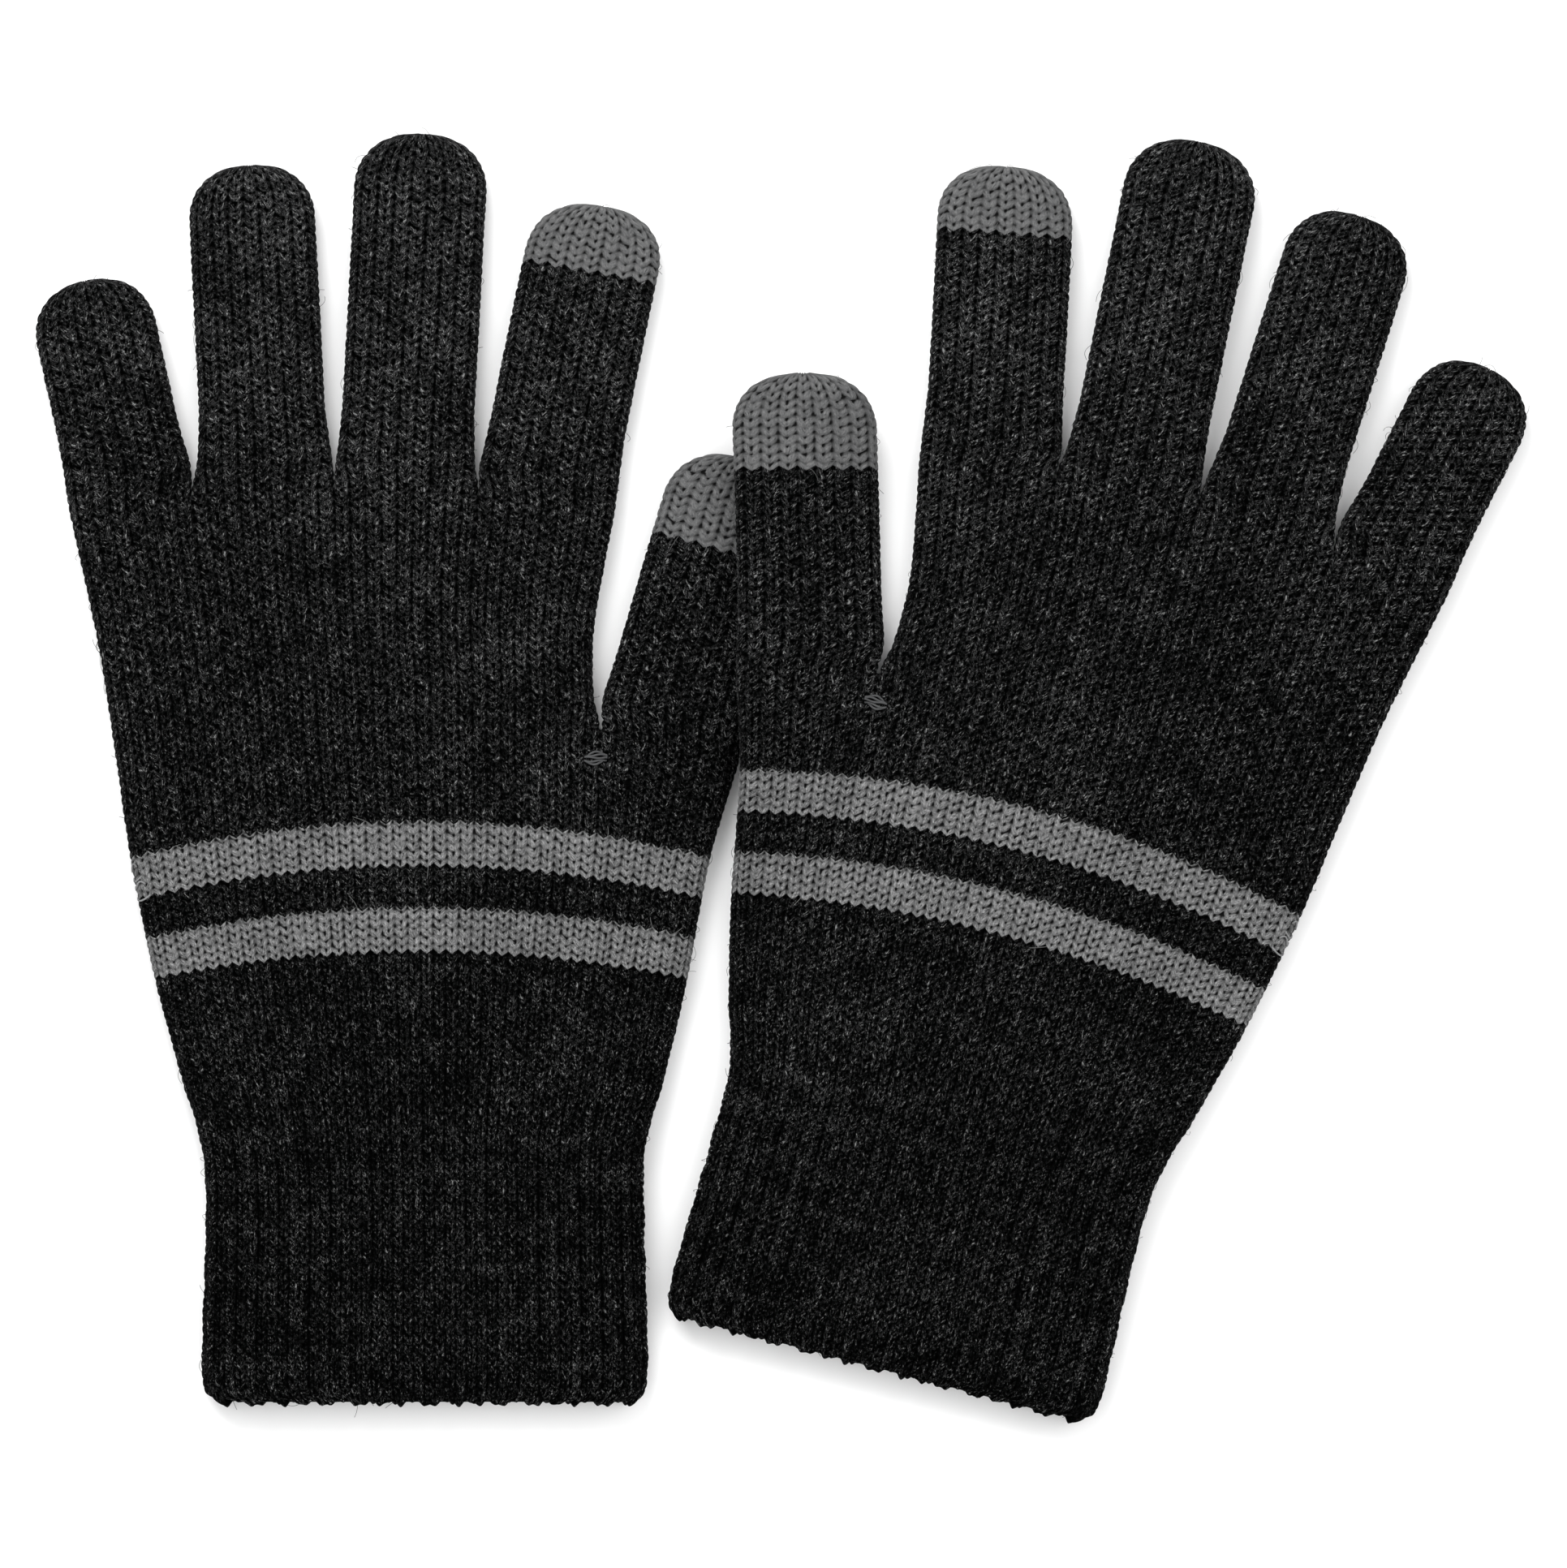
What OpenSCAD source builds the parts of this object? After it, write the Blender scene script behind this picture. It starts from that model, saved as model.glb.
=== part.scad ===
// Pair of striped knitted gloves with touchscreen tips on the thumb and index finger.
// The gloves lie flat on a table, the second one turned, with its thumb over the first one's.
//
// Each glove is drawn in its own frame: x across the hand with the thumb on +x, y from the cuff's
// edge to the fingertips, z up from the table. place() then puts it in the pair.

/* [Pair] */
// Turn of the right glove on the table, in degrees
pair_turn = 14.6; // [10:0.1:18]
// Room between the two cuffs
pair_gap = 2.5; // [1:0.1:24]
// How far the right cuff's centre is above the left one's, towards the fingers
pair_y = 6.2; // [4:0.1:9]
// Air between the left thumb and the right thumb that lies over it
thumb_air = 1.1; // [0.6:0.1:2]

/* [Fabric] */
// Thickness of a glove lying flat, both layers and the space between
flat_t = 7; // [5.5:0.1:9]
// Thickness of the cuff lying flat
cuff_t = 8.6; // [7:0.1:11]
// Thickness of the knitted fabric
fabric = 1.3; // [0.9:0.05:1.6]
// Gap that lets two rigid pieces of fabric turn past each other
joint_gap = 0.6; // [0.4:0.05:1]

/* [Cuff and wrist] */
// Width of the cuff, flat
cuff_w = 81.2; // [66:0.1:98]
// Length of the ribbed cuff, from its edge
cuff_len = 48; // [38:0.5:60]
// Height of the bound-off edge
edge_h = 4; // [3:0.1:6]
// How much narrower the bound-off edge is than the cuff
edge_tuck = 2.6; // [1:0.1:5]
// Number of elastic threads in the cuff
elastic_n = 5; // [3:1:7]
// Thickness of an elastic thread
elastic_t = 0.7; // [0.5:0.05:1]

/* [Hand] */
// Width of the hand at the lower edge of the lower stripe
hand_w = 97.8; // [90:0.1:112]
// Width of the hand at the upper edge of the upper stripe
thumb_base_w = 106.7; // [100:0.1:120]
// Distance from the cuff's edge to the fork of the thumb
fork_y = 125.1; // [120:0.1:150]
// Distance of the thumb's fork from the glove's middle line
fork_x = 31.2; // [26:0.1:36]
// Distance from the cuff's edge to the outer end of the knuckle line
knuckle_y = 163.1; // [150:0.1:196]
// How far the knuckles stand to the little finger's side of the middle line
knuckle_drift = 15.3; // [8:0.1:20]

/* [Stripes] */
// Height of a light stripe
stripe_h = 7.3; // [6:0.1:9]
// Distance between the two stripes
stripe_gap = 7.6; // [6:0.1:9.2]
// Distance from the cuff's edge to the lower stripe, at the sides
stripe_y = 78.5; // [70:0.1:84]
// How far the stripes rise in the middle of the hand
stripe_rise = 6.6; // [0:0.1:9]

/* [Fingers] */
// Width of the little finger at its root
little_w = 23.1; // [18:0.1:28]
// Width of the ring finger at its root
ring_w = 24.7; // [19:0.1:30]
// Width of the middle finger at its root
middle_w = 25.2; // [20:0.1:31]
// Width of the index finger at its root
index_w = 25.5; // [20:0.1:31]
// Width of the thumb at its root
thumb_w = 26.8; // [22:0.1:32]
// Length of the little finger
little_len = 38.8; // [32:0.1:48]
// Length of the ring finger
ring_len = 56.1; // [46:0.1:68]
// Length of the middle finger
middle_len = 61.9; // [50:0.1:75]
// Length of the index finger
index_len = 52.6; // [43:0.1:64]
// Length of the thumb
thumb_len = 51.3; // [42:0.1:62]
// Width of a finger past its middle, as a share of its root
finger_taper = 0.955; // [0.85:0.005:1]
// Length of the rounded tip of a finger
tip_round = 10.5; // [8:0.1:12]
// Place of a finger's middle joint, as a share of its length
joint_share = 0.43; // [0.38:0.01:0.5]

/* [Touchscreen tips] */
// Length of the conductive tip of the index finger
index_tip_len = 13.2; // [12:0.1:16]
// Length of the conductive tip of the thumb
thumb_tip_len = 17.5; // [13:0.1:22]

/* [Thumb tack] */
// Length of the yarn tack below the thumb's fork
tack_len = 3.6; // [2:0.1:6]
// Thickness of the tack's yarn
tack_d = 1.2; // [0.8:0.1:2]

/* [Hidden] */
LEFT = 0;
RIGHT = 1;
LITTLE = 0;
RING = 1;
MIDDLE = 2;
INDEX = 3;
THUMB = 4;

CHARCOAL = "#2d2e31";
LIGHT_GREY = "#8e9093";
TIP_GREY = "#55575b";
ELASTIC = "#1d1d1f";

// flat steps across a hand, across a finger, and in each rounded side
HAND_STEPS = 12;
FINGER_STEPS = 4;
THUMB_STEPS = 8;
SIDE_STEPS = 4;

// the hand stands this far to the little finger's side of the cuff's middle line
HAND_SHIFT = 0.8;
// rise of the stripes' edges in the middle of the hand, as shares of the uppermost edge's rise
RISES = [0.72, 0.87, 0.94, 1];
// the wrist's middle row: shares of the way to the stripe, of the widening and of the stripe's rise
WRIST_Y = 0.35;
WRIST_WIDER = 0.3;
WRIST_RISE = 0.25;
// how much thinner each face of the cuff is at its very edge
EDGE_THIN = 0.5;
// share of the elastic's thickness that the lining holds
ELASTIC_HELD = 0.2;
// the tack's place from the thumb's fork, and the share of its thickness that is pressed into the palm
TACK_AT = [0.4, -5.6];
TACK_HELD = 0.2;
TACK_FN = 16;

// a finger's taper ends at this share of its length
TAPER_END = 0.6;
// power of the curve that rounds a fingertip's outline: 2 is a circle, more is squarer
TIP_POWER = 2.3;
// places of the rings in a rounded tip, as shares of its length before the end
TIP_STOPS = [1, 0.62, 0.36, 0.17, 0.05, 0];
// least distance between two rings, and half the flat stretch that a narrow ring keeps
RING_STEP = 0.4;
// least half width of a ring, and its least height as a share of the finger's
TIP_HALF = 1.2;
TIP_HEIGHT = 0.2;
// width of the flat rim at a finger's rounded root, and place of the ring in the middle of the rounding
ROOT_RIM = 0.35;
ROOT_MID = 0.6;

// The right glove's lift over the left thumb. It starts and ends these distances along that thumb,
// past its root and past its tip, and each run is the length of a ramp.
LIFT_BACK = 17.8;
LIFT_START = -9;
LIFT_RUN = 40;
LIFT_END = 52;
LIFT_END_RUN = 14;
// width of the slope beside the thumb, at its root and further up, and the level strip before it
SLOPE_ROOT = 26;
SLOPE_TOP = 15;
SLOPE_START = 18;
SLOPE_RUN = 44;
SLOPE_LEVEL = 2;

// lean of each finger away from the glove's middle line, towards the thumb
LEANS = [-12.5, -2.9, 3.1, 10.2, 15.4];
widths = [little_w, ring_w, middle_w, index_w, thumb_w];
lengths = [little_len, ring_len, middle_len, index_len, thumb_len];

half_t = flat_t / 2;
hollow = half_t - fabric;
// a finger's root is round about its hinge, and the piece before it ends this far from the hinge
reach = half_t + joint_gap;
nose = sqrt(half_t * half_t - pow(hollow + ROOT_RIM, 2));

// the edges between the bands of the hand, at the hand's sides
stripe_1 = stripe_y + stripe_h;
stripe_2 = stripe_1 + stripe_gap;
stripe_3 = stripe_2 + stripe_h;
rises = stripe_rise * RISES;

// ---------------------------------------------------------------- frames of the fingers

function along(f) = [sin(LEANS[f]), cos(LEANS[f])];
function across(f) = [cos(LEANS[f]), -sin(LEANS[f])];

// the knuckle line: one straight stretch square to each finger, from the little finger's side
knuckle_span = sum_across(0, 4);
knuckles = [for (i = [0:4]) [-knuckle_drift - knuckle_span.x / 2, knuckle_y] + sum_across(0, i)];
function sum_across(from, to) = from >= to ? [0, 0]
    : (widths[from] + joint_gap) * across(from) + sum_across(from + 1, to);

fork = [fork_x, fork_y];
thumb_end = fork + (thumb_w + joint_gap) * across(THUMB);

// a finger's hinge: the point on its middle line
function hinge(f) = reach * along(f) + (f == THUMB
    ? fork + (joint_gap + thumb_w / 2) * across(THUMB)
    : (knuckles[f] + knuckles[f + 1]) / 2);

// half the width of finger f at a distance v past its hinge, for a finger that ends at len
function half_w(f, v, len, inset) =
    let (w = widths[f] / 2 * (1 - (1 - finger_taper) * min(1, max(0, v / (TAPER_END * lengths[f])))) - inset,
         t = (len - v) / (tip_round - inset))
    t >= 1 ? w : w * pow(1 - pow(1 - max(t, 0), TIP_POWER), 1 / TIP_POWER);

// ---------------------------------------------------------------- rows and rings

function unit(p) = p / norm(p);
function ramp(t) = min(1, max(0, t));

// a row of points across the hand, from xl to xr at height y, that rises in the middle
function hand_row(xl, xr, y, rise) =
    [for (j = [0:HAND_STEPS])
        let (s = j / HAND_STEPS) [xl + (xr - xl) * s, y + rise * (1 - pow(2 * s - 1, 2))]];

// a row across finger f, at a distance v past its hinge
function finger_row(f, v, half, steps) =
    [for (j = [0:steps]) hinge(f) + v * along(f) + half * (2 * j / steps - 1) * across(f)];

// a row with its two ends moved in by r, so that a rounded side fits there
function core(row, r) =
    let (n = len(row) - 1,
         xl = row[0].x + r * unit(row[1] - row[0]).x,
         xr = row[n].x - r * unit(row[n] - row[n - 1]).x)
    [for (p = row)
        let (x = xl + (xr - xl) * (p.x - row[0].x) / (row[n].x - row[0].x)) [x, lookup(x, row)]];

// the closed ring of a flat tube round a core row: half thickness h, sides that stand out by r
function ring(row, r, h, mid) =
    let (n = len(row) - 1,
         a = unit(row[0] - row[1]),
         b = unit(row[n] - row[n - 1]))
    concat(
        [for (j = [0:n]) [row[j].x, row[j].y, mid + h]],
        [for (k = [1:SIDE_STEPS - 1])
            let (q = 180 * k / SIDE_STEPS, p = row[n] + b * r * sin(q)) [p.x, p.y, mid + h * cos(q)]],
        [for (j = [n:-1:0]) [row[j].x, row[j].y, mid - h]],
        [for (k = [1:SIDE_STEPS - 1])
            let (q = 180 * k / SIDE_STEPS, p = row[0] + a * r * sin(q)) [p.x, p.y, mid - h * cos(q)]]
    );

// ---------------------------------------------------------------- places in the pair

// the left glove's thumb-side edge, where the right glove's thumb crosses it
edge_start = thumb_end - LIFT_BACK * along(THUMB);

// how high the right glove is lifted at a point of the left glove's frame: by the left thumb's
// thickness over that thumb, down to nothing across the right thumb and past both tips
function lift(p) =
    let (q = p - edge_start,
         inside = -q * across(THUMB),
         up = q * along(THUMB),
         slope_w = SLOPE_ROOT + (SLOPE_TOP - SLOPE_ROOT) * ramp((up - SLOPE_START) / SLOPE_RUN))
    (flat_t + thumb_air) * sin(90 * ramp((up - LIFT_START) / LIFT_RUN))
        * ramp((thumb_len + LIFT_END - up) / LIFT_END_RUN)
        * ramp((inside + slope_w - SLOPE_LEVEL) / slope_w);

function turned(p) = [-p.x * cos(pair_turn) + p.y * sin(pair_turn),
                      p.x * sin(pair_turn) + p.y * cos(pair_turn)];

// a point of a glove's frame in the left glove's frame
function in_pair(side, p) = side == LEFT ? p
    : let (q = turned(p) + [cuff_w + pair_gap, pair_y]) [q.x, q.y, p.z + lift(q)];

function place(side, rings) = [for (r = rings) [for (p = r) in_pair(side, p) - centre]];

// ---------------------------------------------------------------- solids

// a tube of fabric between outer and inner rings, open at its start, and open or closed at its end
module tube(side, outer, inner, closed = false) {
    n = len(outer[0]);
    m = len(outer);
    k = len(inner);
    rings = place(side, concat(outer, inner));
    skin = [for (r = [0:m - 2], i = [0:n - 1]) each quad(r, r + 1, i, n)];
    lining = [for (r = [m:m + k - 2], i = [0:n - 1]) each quad(r + 1, r, i, n)];
    start = [for (i = [0:n - 1]) each quad(m, 0, i, n)];
    end = closed
        ? concat([for (f = fan(m - 1, n)) [f[2], f[1], f[0]]], fan(m + k - 1, n))
        : [for (i = [0:n - 1]) each quad(m - 1, m + k - 1, i, n)];
    faces = concat(skin, lining, start, end);
    polyhedron([for (r = rings) each r],
               side == LEFT ? faces : [for (f = faces) [f[2], f[1], f[0]]], convexity = 6);
}

// the two triangles between rings a and b at step i of n
function quad(a, b, i, n) =
    let (j = (i + 1) % n)
    [[a * n + i, b * n + j, a * n + j], [a * n + i, b * n + i, b * n + j]];

// the triangles that close ring a, from the middle of its rounded side
function fan(a, n) =
    let (apex = n / 2 - SIDE_STEPS / 2)
    [for (i = [1:n - 2]) [a * n + apex, a * n + (apex + i) % n, a * n + (apex + i + 1) % n]];

// a band of the hand through rows, with a total thickness at each row
module band(side, rows, thick) {
    outer = [for (i = [0:len(rows) - 1])
        ring(core(rows[i], thick[i] / 2), thick[i] / 2, thick[i] / 2, thick[i] / 2)];
    inner = [for (i = [0:len(rows) - 1])
        ring(core(rows[i], thick[i] / 2), thick[i] / 2 - fabric, thick[i] / 2 - fabric, thick[i] / 2)];
    tube(side, outer, inner);
}

// ---------------------------------------------------------------- the hand's rows

function cuff_row(y) = hand_row(-cuff_w / 2, cuff_w / 2, y, 0);
edge_row = hand_row(-(cuff_w - edge_tuck) / 2, (cuff_w - edge_tuck) / 2, 0, 0);
row_0 = hand_row(-hand_w / 2 - HAND_SHIFT, hand_w / 2 - HAND_SHIFT, stripe_y, rises[0]);
row_3 = hand_row(-thumb_base_w / 2 - HAND_SHIFT, thumb_base_w / 2 - HAND_SHIFT, stripe_3, rises[3]);

// rows between the two edges of the stripes' zone lie on straight sides
function stripe_row(y, rise) =
    let (t = (y - stripe_y) / (stripe_3 - stripe_y))
    hand_row(row_0[0].x + (row_3[0].x - row_0[0].x) * t,
             row_0[HAND_STEPS].x + (row_3[HAND_STEPS].x - row_0[HAND_STEPS].x) * t, y, rise);
row_1 = stripe_row(stripe_1, rises[1]);
row_2 = stripe_row(stripe_2, rises[2]);

// the hand's side at the height of the fork, on the line from the stripes to the knuckles
fork_side = row_3[0].x + (knuckles[0].x - row_3[0].x) * (fork_y - stripe_3) / (knuckle_y - stripe_3);

// the row below the thumb: level up to the fork, then square to the thumb
fork_row = [for (j = [0:HAND_STEPS])
    let (x = fork_side + (thumb_end.x - fork_side) * j / HAND_STEPS)
    [x, fork_y - max(0, x - fork_x) * tan(LEANS[THUMB])]];
palm_row = hand_row(fork_side, fork_x, fork_y, 0);
knuckle_row = [for (j = [0:HAND_STEPS])
    let (x = knuckles[0].x + (knuckles[4].x - knuckles[0].x) * j / HAND_STEPS) [x, lookup(x, knuckles)]];

function edge_rings(inset) =
    [for (y = [0, edge_h / 2, edge_h])
        let (row = y == 0 ? edge_row : cuff_row(y), h = cuff_t / 2 - (y == 0 ? EDGE_THIN : 0))
        ring(core(row, cuff_t / 2), h - inset, h - inset, cuff_t / 2)];

// the rings of finger f from v0 to len, drawn in by inset
function finger_rings(f, v0, len, inset, steps) =
    let (end = len - inset,
         stops = [for (t = TIP_STOPS) end - t * (tip_round - inset)])
    [for (v = concat(v0 < stops[0] - RING_STEP ? [v0] : [], [for (s = stops) if (s > v0 + RING_STEP) s]))
        let (half = max(TIP_HALF, half_w(f, v, end, inset)),
             t = ramp((end - v) / (half_t - inset)),
             h = (half_t - inset) * max(TIP_HEIGHT, sqrt(1 - pow(1 - t, 2))),
             r = min(h, half - RING_STEP))
        ring(core(finger_row(f, v, half, steps), r), r, h, half_t)];

// the rounded start of a finger piece about a hinge at v
function nose_rings(f, v, steps) =
    [for (d = [nose, nose * ROOT_MID, 0])
        let (half = half_w(f, v, lengths[f], 0), h = sqrt(half_t * half_t - d * d))
        ring(core(finger_row(f, v - d, half, steps), half_t), h, h, half_t)];

function bore_ring(f, v, steps) =
    ring(core(finger_row(f, v, half_w(f, v, lengths[f], 0), steps), half_t), hollow, hollow, half_t);

// a straight stretch of finger f from v0 to v1; hinged says that it starts with a rounded root
module finger_piece(side, f, v0, v1, hinged = true, steps = FINGER_STEPS) {
    mid = (v0 + v1) / 2;
    body = [for (v = [mid, v1])
        ring(core(finger_row(f, v, half_w(f, v, lengths[f], 0), steps), half_t), half_t, half_t, half_t)];
    outer = hinged ? concat(nose_rings(f, v0, steps), body)
        : concat([ring(core(finger_row(f, v0, half_w(f, v0, lengths[f], 0), steps), half_t),
                       half_t, half_t, half_t)], body);
    inner = [for (v = [hinged ? v0 - nose : v0, mid, v1]) bore_ring(f, v, steps)];
    tube(side, outer, inner);
}

// the closed end of finger f from v0
module finger_cap(side, f, v0, hinged = true, steps = FINGER_STEPS) {
    rings = finger_rings(f, v0, lengths[f], 0, steps);
    outer = hinged ? concat(nose_rings(f, v0, steps), [for (i = [1:len(rings) - 1]) rings[i]]) : rings;
    inner = concat([bore_ring(f, hinged ? v0 - nose : v0, steps)],
                   finger_rings(f, v0 + (hinged ? 0 : RING_STEP), lengths[f], fabric, steps));
    tube(side, outer, inner, closed = true);
}

function joint_at(f) = lengths[f] * joint_share;
function tip_at(f) = lengths[f] - (f == THUMB ? thumb_tip_len : index_tip_len);

// the pair stands with the middle of its outline over the origin
outline = [for (side = [LEFT, RIGHT]) each [for (r = concat(
        finger_rings(LITTLE, 0, little_len, 0, FINGER_STEPS),
        finger_rings(MIDDLE, 0, middle_len, 0, FINGER_STEPS),
        finger_rings(RING, 0, ring_len, 0, FINGER_STEPS),
        edge_rings(0))) each [for (p = r) in_pair(side, p)]]];
xs = [for (p = outline) p.x];
ys = [for (p = outline) p.y];
centre = [(min(xs) + max(xs)) / 2, (min(ys) + max(ys)) / 2, 0];

// ---------------------------------------------------------------- sub-parts

module cuff_edge(side) {
    color(CHARCOAL) tube(side, edge_rings(0), edge_rings(fabric));
}

module cuff(side) {
    color(CHARCOAL)
    band(side, [cuff_row(edge_h), cuff_row((edge_h + cuff_len) / 2), cuff_row(cuff_len)],
         [cuff_t, cuff_t, cuff_t]);
}

module cuff_elastic(side) {
    // the loops are knitted into the lining, which holds them by a share of their thickness
    depth = fabric - elastic_t * ELASTIC_HELD;
    pitch = (cuff_len - 2 * edge_h) / elastic_n;
    color(ELASTIC)
    for (i = [0:elastic_n - 1]) {
        y = edge_h * 1.5 + pitch * (i + 0.5);
        rows = [for (v = [y, y + elastic_t]) core(cuff_row(v), cuff_t / 2)];
        tube(side,
             [for (row = rows) ring(row, cuff_t / 2 - depth, cuff_t / 2 - depth, cuff_t / 2)],
             [for (row = rows)
                 ring(row, cuff_t / 2 - depth - elastic_t, cuff_t / 2 - depth - elastic_t, cuff_t / 2)]);
    }
}

module wrist(side) {
    // the side leaves the cuff straight and then widens towards the stripes
    mid_y = cuff_len + (stripe_y - cuff_len) * WRIST_Y;
    mid_w = cuff_w + (hand_w - cuff_w) * WRIST_WIDER;
    shift = HAND_SHIFT * WRIST_WIDER;
    mid_row = hand_row(-mid_w / 2 - shift, mid_w / 2 - shift, mid_y, rises[0] * WRIST_RISE);
    color(CHARCOAL)
    band(side, [cuff_row(cuff_len), mid_row, row_0], [cuff_t, (cuff_t + flat_t) / 2, flat_t]);
}

module lower_stripe(side) {
    color(LIGHT_GREY) band(side, [row_0, row_1], [flat_t, flat_t]);
}

module middle_band(side) {
    color(CHARCOAL) band(side, [row_1, row_2], [flat_t, flat_t]);
}

module upper_stripe(side) {
    color(LIGHT_GREY) band(side, [row_2, row_3], [flat_t, flat_t]);
}

module palm(side) {
    color(CHARCOAL) band(side, [row_3, (row_3 + fork_row) / 2, fork_row], [flat_t, flat_t, flat_t]);
}

module knuckle_band(side) {
    color(CHARCOAL)
    band(side, [palm_row, (palm_row + knuckle_row) / 2, knuckle_row], [flat_t, flat_t, flat_t]);
}

module thumb_tack(side) {
    // a short bar of yarn across the palm, pressed a little way into the fabric
    p = in_pair(side, [fork_x + TACK_AT.x, fork_y + TACK_AT.y, flat_t]) - centre;
    color(CHARCOAL)
    translate([p.x, p.y, p.z + tack_d * (0.5 - TACK_HELD)])
    rotate([0, 0, side == LEFT ? 0 : -pair_turn])
    rotate([0, 90, 0]) {
        cylinder(h = tack_len - tack_d, d = tack_d, center = true, $fn = TACK_FN);
        for (end = [-1, 1])
            translate([0, 0, end * (tack_len - tack_d) / 2]) sphere(d = tack_d, $fn = TACK_FN);
    }
}

module finger_base(side, f) {
    color(CHARCOAL) finger_piece(side, f, 0, joint_at(f) - reach);
}

module finger_end(side, f) {
    color(CHARCOAL)
    if (f == INDEX) finger_piece(side, f, joint_at(f), tip_at(f));
    else finger_cap(side, f, joint_at(f));
}

module index_tip(side) {
    color(TIP_GREY) finger_cap(side, INDEX, tip_at(INDEX), hinged = false);
}

module thumb(side) {
    color(CHARCOAL) finger_piece(side, THUMB, 0, tip_at(THUMB), steps = THUMB_STEPS);
}

module thumb_tip(side) {
    color(TIP_GREY) finger_cap(side, THUMB, tip_at(THUMB), hinged = false, steps = THUMB_STEPS);
}

cuff_edge(LEFT);  // left_cuff_edge
cuff(LEFT);  // left_cuff
cuff_elastic(LEFT);  // left_cuff_elastic
wrist(LEFT);  // left_wrist
lower_stripe(LEFT);  // left_lower_stripe
middle_band(LEFT);  // left_middle_band
upper_stripe(LEFT);  // left_upper_stripe
palm(LEFT);  // left_palm
knuckle_band(LEFT);  // left_knuckle_band
thumb_tack(LEFT);  // left_thumb_tack
finger_base(LEFT, LITTLE);  // left_little_base
finger_end(LEFT, LITTLE);  // left_little_end
finger_base(LEFT, RING);  // left_ring_base
finger_end(LEFT, RING);  // left_ring_end
finger_base(LEFT, MIDDLE);  // left_middle_base
finger_end(LEFT, MIDDLE);  // left_middle_end
finger_base(LEFT, INDEX);  // left_index_base
finger_end(LEFT, INDEX);  // left_index_end
index_tip(LEFT);  // left_index_tip
thumb(LEFT);  // left_thumb
thumb_tip(LEFT);  // left_thumb_tip
cuff_edge(RIGHT);  // right_cuff_edge
cuff(RIGHT);  // right_cuff
cuff_elastic(RIGHT);  // right_cuff_elastic
wrist(RIGHT);  // right_wrist
lower_stripe(RIGHT);  // right_lower_stripe
middle_band(RIGHT);  // right_middle_band
upper_stripe(RIGHT);  // right_upper_stripe
palm(RIGHT);  // right_palm
knuckle_band(RIGHT);  // right_knuckle_band
thumb_tack(RIGHT);  // right_thumb_tack
finger_base(RIGHT, LITTLE);  // right_little_base
finger_end(RIGHT, LITTLE);  // right_little_end
finger_base(RIGHT, RING);  // right_ring_base
finger_end(RIGHT, RING);  // right_ring_end
finger_base(RIGHT, MIDDLE);  // right_middle_base
finger_end(RIGHT, MIDDLE);  // right_middle_end
finger_base(RIGHT, INDEX);  // right_index_base
finger_end(RIGHT, INDEX);  // right_index_end
index_tip(RIGHT);  // right_index_tip
thumb(RIGHT);  // right_thumb
thumb_tip(RIGHT);  // right_thumb_tip
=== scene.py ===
"""Looks of the pair of knitted touchscreen gloves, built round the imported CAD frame.

Every stretch of knitting is a closed shell whose outer face carries real stitches. A glove is a set of flat
tubes (the hand, the band under the knuckles, the fingers and the thumb). A point on a tube has a place round it,
counted in wales (columns of stitches), and a place along it, counted in courses (rows of stitches).
Shapes are worked out in millimetres in the glove's own frame: x across the hand with the thumb on +x,
y from the cuff's edge to the fingertips, z up. place() then puts the glove in the pair.
"""
import math

import bpy
import numpy as np
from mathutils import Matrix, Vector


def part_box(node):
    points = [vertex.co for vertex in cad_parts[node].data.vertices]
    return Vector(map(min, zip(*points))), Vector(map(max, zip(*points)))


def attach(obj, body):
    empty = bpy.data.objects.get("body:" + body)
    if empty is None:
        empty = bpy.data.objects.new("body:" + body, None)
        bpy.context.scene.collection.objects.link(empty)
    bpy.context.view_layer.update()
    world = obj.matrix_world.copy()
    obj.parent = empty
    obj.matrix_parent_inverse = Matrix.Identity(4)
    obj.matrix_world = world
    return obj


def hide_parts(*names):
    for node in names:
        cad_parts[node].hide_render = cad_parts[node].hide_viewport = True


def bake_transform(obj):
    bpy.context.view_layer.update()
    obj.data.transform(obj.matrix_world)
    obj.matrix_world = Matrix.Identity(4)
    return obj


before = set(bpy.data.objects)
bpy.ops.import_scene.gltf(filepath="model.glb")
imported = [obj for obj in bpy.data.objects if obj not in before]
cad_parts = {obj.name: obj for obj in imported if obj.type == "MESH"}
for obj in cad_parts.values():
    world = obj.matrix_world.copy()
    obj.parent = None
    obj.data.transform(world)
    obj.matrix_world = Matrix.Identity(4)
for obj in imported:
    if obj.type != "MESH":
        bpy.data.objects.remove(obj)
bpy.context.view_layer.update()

MM = 0.001
SEED = 7

# ------------------------------------------------------------------ sizes, as the CAD model has them (mm)
PAIR_TURN = 14.6                    # degrees the right glove is turned by
PAIR_OFFSET = np.array([83.7, 6.2])  # right cuff's centre from the left one's
FLAT_T = 7.0
CUFF_T = 8.6
THUMB_AIR = 1.1
JOINT_GAP = 0.6
REACH = FLAT_T / 2 + JOINT_GAP
CUFF_LEN = 48.0
FORK = np.array([31.2, 125.1])
KNUCKLE_Y = 163.1
KNUCKLE_DRIFT = 15.3
JOINT_SHARE = 0.43
TIP_ROUND = 10.5

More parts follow.
